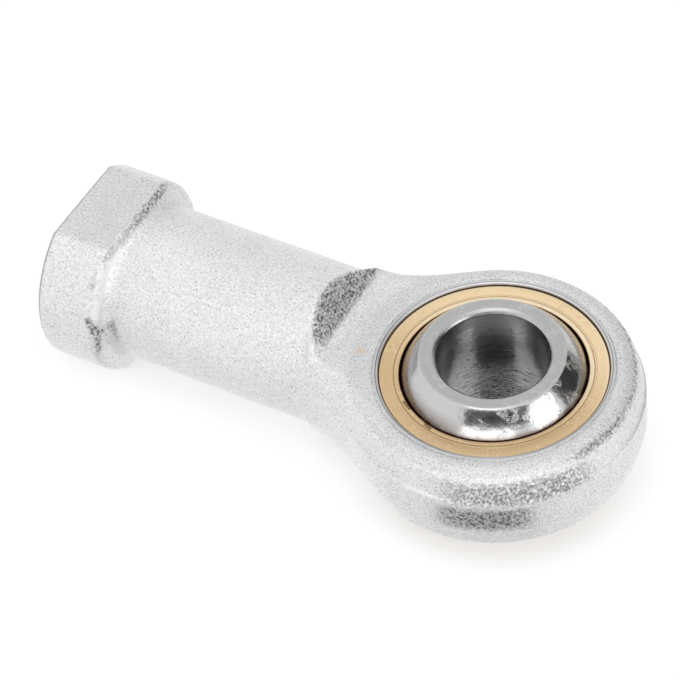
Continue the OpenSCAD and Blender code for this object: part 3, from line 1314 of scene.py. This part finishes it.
@dataclass(frozen=True)
class PolishedSteel:
    """Polished ball with a satin turned face ring, a darker bore with lathe marks and painted
    shade deeper in it, and a painted brown shadow and reflection of the race by its edge.
    """

    bright: float = 0.60
    face_level: float = 0.50
    bore_level: float = 0.55
    scratch_level: float = 0.95
    line_pitch: float = 0.1
    line_contrast: float = 0.3
    line_depth: float = 0.009
    face: Region = Region({"Height": (7.5, 7.6), "From bore": (7.78, 7.66)})
    bore: Region = Region({"From bore": (6.08, 6.02)})
    # Painted shade deeper in the bore.
    below: Region = Region({"Z": (1.5, -1.5)})
    deep: Region = Region({"Z": (6.0, 3.0)})
    deep_shade: float = 0.56
    below_shade: float = 0.42
    hair_turns: tuple[Point, ...] = ((0.3, 0.9, 0.5), (1.1, -0.4, 2.0), (-0.7, 0.3, 1.2),
                                     (0.2, 0.1, 0.3))
    hair_size: Point = (0.25, 2.4, 2.4)
    hair_tilt: tuple[float, float] = (7.0, 5.0)
    hair_pale: float = 0.25
    hair_matt: float = 0.3
    hair_depth: float = 0.007
    pit_size: float = 0.5
    pit_limits: tuple[float, float] = (0.68, 0.76)
    pit_dark: float = 0.7
    tear_stretch: Point = (0.9, 0.9, 7.0)
    tear_limits: tuple[float, float] = (0.5, 0.6)
    tear_dark: float = 0.75
    torn_stretch: Point = (0.9, 0.9, 6.0)
    torn_depth: float = 0.045
    left: Point = (-0.83, -0.56, 0.0)
    left_limits: tuple[float, float] = (1.0, 8.0)
    # Painted brown shadow and reflection of the race on the ball by its edge, wider on the left.
    race_shade: Colour = (0.16, 0.10, 0.07, 1.0)
    race_shaded: Region = Region({"From bore": (9.4, 9.85)})
    race_shaded_left: Region = Region({"From bore": (8.6, 9.9)})
    race_shaded_height: Region = Region({"Height": (4.0, 5.0)}, strength=0.85)
    sphere_roughness: float = 0.19
    face_roughness: float = 0.30
    bore_roughness: float = 0.22
    roughness_size: float = 1.3
    roughness_contrast: float = 0.22
    wave_size: float = 1.8
    wave_depth: float = 0.045

    def hair(self, s: Surface, turn: Point) -> Socket:
        """Makes one set of straight hair scratches, kept where the surface cuts them across.

        Args:
            s: The material.
            turn: How the set is turned, as three angles.

        Returns:
            The mask of the scratches.
        """
        w = s.wiring
        across = Euler(turn).to_matrix() @ Vector((1.0, 0.0, 0.0))
        scratch = w.effect("scratches", Place=s.place, Turn=turn, Size=self.hair_size)["Scratch"]
        tilt = w.math("ABSOLUTE", w.vector("DOT_PRODUCT", s.place, tuple(across)))
        return w.math("MULTIPLY", scratch, w.step(tilt, *self.hair_tilt))

    def bore_marks(self, s: Surface, bore: Socket, left: Socket) -> tuple[Socket, Socket]:
        """Paints shade on the wall of the bore, darker further down and least so on its left, and
        tears it, with pits all over and torn lines round its lower half.

        Args:
            s: The material.
            bore: The mask of the bore.
            left: The mask of the ball's left.

        Returns:
            What share of the level is left, and the height of the torn lines in millimetres.
        """
        w = s.wiring
        low = w.math("MULTIPLY", bore, self.below.mask(s))
        # Painted shade down the bore.
        dark = w.blend(low, self.deep_shade, w.blend(left, self.below_shade, 0.0))
        level = w.less(w.product(bore, self.deep.mask(s), dark))
        tears = w.noise(w.vector("MULTIPLY", s.place, self.tear_stretch), 1.0, 5.0, 0.75)
        tears = w.math("MULTIPLY", low, w.step(tears, *self.tear_limits))
        level = w.dim(level, tears, self.tear_dark)
        pits = w.step(w.noise(s.place, self.pit_size, 1.0), *self.pit_limits)
        level = w.dim(level, w.math("MULTIPLY", pits, bore), self.pit_dark)
        torn = w.noise(w.vector("MULTIPLY", s.place, self.torn_stretch), 1.0, 4.0, 0.7)
        return level, w.product(low, torn, self.torn_depth)

    def build(self) -> Surface:
        """Makes the finish.

        Returns:
            The finished material.
        """
        s = Surface("polished_ball_steel")
        w, at = s.wiring, s.at
        face, bore = self.face.mask(s), self.bore.mask(s)
        left = w.step(w.vector("DOT_PRODUCT", s.place, self.left), *self.left_limits)
        line = w.effect("lathe_lines", Along=w.sum(at["From bore"], at["Z"]),
                        Pitch=self.line_pitch)["Line"]
        hair = w.largest(*(self.hair(s, turn) for turn in self.hair_turns))
        hair = w.math("MULTIPLY", hair, w.less(bore))
        bore_share, torn = self.bore_marks(s, bore, left)

        face_level = w.math("ADD", self.face_level, w.swing(line, self.line_contrast))
        level = w.blend(face, self.bright, face_level)
        level = w.blend(bore, level, self.bore_level)
        level = w.blend(w.math("MULTIPLY", hair, self.hair_pale), level, self.scratch_level)
        level = w.math("MULTIPLY", level, bore_share)
        # Painted brown shadow and reflection of the race.
        race_shaded_left = w.math("MULTIPLY", left, self.race_shaded_left.mask(s))
        race_shaded = w.largest(self.race_shaded.mask(s), race_shaded_left)
        race_shaded = w.math("MULTIPLY", race_shaded, self.race_shaded_height.mask(s))
        colour = w.mix(race_shaded, s.grey(level), self.race_shade)

        uneven = w.noise(s.place, self.roughness_size, 4.0, 0.65)
        uneven = w.swing(uneven, self.roughness_contrast)
        rough = w.math("ADD", w.blend(face, self.sphere_roughness, self.face_roughness), uneven)
        s.set(Base_Color=colour, Metallic=w.less(w.math("MULTIPLY", hair, self.hair_matt)),
              Roughness=w.blend(bore, rough, self.bore_roughness))
        waves = w.math("MULTIPLY", w.noise(s.place, self.wave_size, 3.0, 0.6), self.wave_depth)
        s.relief(w.sum(w.product(line, w.largest(face, bore), self.line_depth), waves,
                       w.math("MULTIPLY", hair, -self.hair_depth), torn), 1.0)
        return s


@dataclass(frozen=True)
class Lamp:
    """A soft rectangular lamp that faces the part: its centre and sides in millimetres and its
    power in watts."""

    name: str
    place: Point
    size: tuple[float, float]
    power: float


@dataclass(frozen=True)
class Card:
    """A black card round the part, which only reflections see: the direction of its middle,
    round from the +X axis and up, and its width and height as the part sees them, in degrees."""

    name: str
    azimuth: float
    elevation: float
    wide: float
    high: float


@dataclass
class Studio:
    """Pale floor, sky, lamps, dark cards and the camera at the photograph's place."""

    floor_z: float = -9.4
    floor_side: float = 6000.0
    lens: float = 177.66
    sensor: float = 36.0
    clip: tuple[float, float] = (0.01, 20.0)
    azimuth: float = math.radians(34.07)
    elevation: float = math.radians(47.0)
    roll: float = math.radians(6.44)
    distance: float = 354.99
    shift: tuple[float, float] = (16.52, -6.77)
    aim: Point = (-18.0, 0.0, 0.0)
    floor_grey: float = 0.82
    floor_glow: float = 0.42
    ambient: float = 0.72
    upper_back: float = 0.90
    upper_back_way: Point = (-0.38, 0.57, 0.73)
    upper_back_limits: tuple[float, float] = (0.1, 1.0)
    card_grey: float = 0.05
    card_distance: float = 430.0
    matt: float = 0.9
    lamps: tuple[Lamp, ...] = (
        Lamp("overhead", (30.0, -150.0, 420.0), (300.0, 300.0), 0.25),
        Lamp("softbox_right", (410.0, -30.0, 135.0), (220.0, 200.0), 0.34),
        Lamp("softbox_front", (130.0, -395.0, 90.0), (440.0, 110.0), 0.22),
    )
    cards: tuple[Card, ...] = (
        Card("card_right", 46.0, 14.0, 50.0, 44.0),
        Card("card_front", -59.0, 33.5, 72.0, 24.0),
        Card("card_below", -64.0, -50.0, 54.0, 30.0),
    )

    def camera(self) -> bpy.types.Object:
        """Places the camera by its direction round the ball, its distance and its roll.

        Returns:
            The camera.
        """
        a, e, r = self.azimuth, self.elevation, self.roll
        back = np.array([math.sin(a) * math.cos(e), -math.cos(a) * math.cos(e), math.sin(e)])
        right = np.array([math.cos(a), math.sin(a), 0.0])
        up = np.cross(back, right)
        axes = np.stack([
            right * math.cos(r) - up * math.sin(r), right * math.sin(r) + up * math.cos(r), back,
        ])
        place = np.array([-self.shift[0], -self.shift[1], self.distance]) @ axes * MM
        data = bpy.data.cameras.new("camera")
        data.lens, data.sensor_width = self.lens, self.sensor
        data.clip_start, data.clip_end = self.clip
        camera = bpy.data.objects.new("camera", data)
        bpy.context.scene.collection.objects.link(camera)
        pose = np.eye(4)
        pose[:3, :3], pose[:3, 3] = axes.T, place
        camera.matrix_world = Matrix(pose.tolist())
        bpy.context.scene.camera = camera
        return camera

    def lamp(self, lamp: Lamp) -> None:
        """Hangs one lamp, turned to face the part.

        Args:
            lamp: The lamp.
        """
        data = bpy.data.lights.new(lamp.name, "AREA")
        data.shape = "RECTANGLE"
        data.size, data.size_y = lamp.size[0] * MM, lamp.size[1] * MM
        data.energy = lamp.power
        obj = bpy.data.objects.new(lamp.name, data)
        obj.visible_camera = False
        bpy.context.scene.collection.objects.link(obj)
        spot, aim = Vector(lamp.place) * MM, Vector(self.aim) * MM
        obj.matrix_world = Matrix.Translation(spot) @ (
            (aim - spot).to_track_quat("-Z", "Y").to_matrix().to_4x4())

    def sheet(self, name: str, corners: Array) -> bpy.types.Object:
        """Makes a flat four-cornered piece of the studio, which isn't part of the object.

        Args:
            name: Name of the piece.
            corners: Its four corners in order, in millimetres.

        Returns:
            The piece.
        """
        mesh = bpy.data.meshes.new(name)
        mesh.from_pydata((corners * MM).tolist(), [], [(0, 1, 2, 3)])
        obj = bpy.data.objects.new(name, mesh)
        bpy.context.scene.collection.objects.link(obj)
        return obj

    def floor(self) -> None:
        """Lays the pale floor under the part. The camera sees it a little lighter than it is
        lit, so that it comes out white and keeps a faint shadow. As on a glass table, the metal
        mirrors the white below it."""
        half = self.floor_side / 2
        corners = np.array(CORNERS) * half
        floor = self.sheet("floor", np.hstack([corners, np.full((4, 1), self.floor_z)]))
        material = bpy.data.materials.new("pale_floor")
        material.use_nodes = True
        w = Wiring(material.node_tree)
        shader = material.node_tree.nodes["Principled BSDF"]
        rays = w.node("ShaderNodeLightPath").outputs
        seen = w.largest(rays["Is Camera Ray"], rays["Is Glossy Ray"], rays["Is Transmission Ray"])
        for key, value in (("Base Color", plain(self.floor_grey)), ("Roughness", self.matt),
                           ("Emission Color", w.math("MULTIPLY", seen, self.floor_glow)),
                           ("Emission Strength", 1.0)):
            w.plug(shader.inputs[key], value)
        floor.data.materials.append(material)
        floor.visible_glossy = False

    def sky(self) -> None:
        """Surrounds the part with white, which lights it at a plain level."""
        world = bpy.data.worlds.new("studio_white")
        world.use_nodes = True
        bpy.context.scene.world = world
        w = Wiring(world.node_tree)
        rays = w.node("ShaderNodeLightPath").outputs
        direction = w.node("ShaderNodeTexCoord").outputs["Generated"]
        upper_back = w.step(w.vector("DOT_PRODUCT", direction, self.upper_back_way),
                            *self.upper_back_limits)
        mirrored = w.mix(upper_back, plain(1.0), plain(self.upper_back))
        level = w.mix(w.largest(rays["Is Glossy Ray"], rays["Is Transmission Ray"]),
                      plain(self.ambient), mirrored)
        level = w.mix(rays["Is Camera Ray"], level, plain(1.0))
        w.plug(world.node_tree.nodes["Background"].inputs["Color"], level)

    def card(self, card: Card) -> None:
        """Stands one card at its place round the part, square to the way to the part.

        Args:
            card: The card.
        """
        a, e = math.radians(card.azimuth), math.radians(card.elevation)
        out = np.array([math.cos(a) * math.cos(e), math.sin(a) * math.cos(e), math.sin(e)])
        side = np.array([-math.sin(a), math.cos(a), 0.0])
        up = np.cross(out, side)
        half_w, half_h = (self.card_distance * math.tan(math.radians(v / 2))
                          for v in (card.wide, card.high))
        corners = np.array([out * self.card_distance + side * i * half_w + up * j * half_h
                            for i, j in CORNERS])
        obj = self.sheet(card.name, corners)
        obj.visible_camera = False
        material = bpy.data.materials.new(card.name)
        material.use_nodes = True
        shader = material.node_tree.nodes["Principled BSDF"]
        shader.inputs["Base Color"].default_value = plain(self.card_grey)
        shader.inputs["Roughness"].default_value = self.matt
        obj.data.materials.append(material)

    def build(self) -> None:
        """Sets up the whole studio."""
        self.camera()
        self.floor()
        self.sky()
        for lamp in self.lamps:
            self.lamp(lamp)
        for card in self.cards:
            self.card(card)
        bpy.context.scene.view_settings.view_transform = "Standard"


def main() -> None:
    """Builds every piece in order and reports each one."""
    logging.basicConfig(level=logging.INFO, format="%(name)s: %(message)s")
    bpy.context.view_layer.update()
    for effect in (part_place, blasted_grain, lathe_lines, scratches):
        effect()
    housing = Housing()
    BlastedSteel(housing).build().dress(housing.build())
    TurnedBronze().build().dress(Race().build())
    PolishedSteel().build().dress(Ball().build())
    Studio().build()


if __name__ == "__main__":
    main()
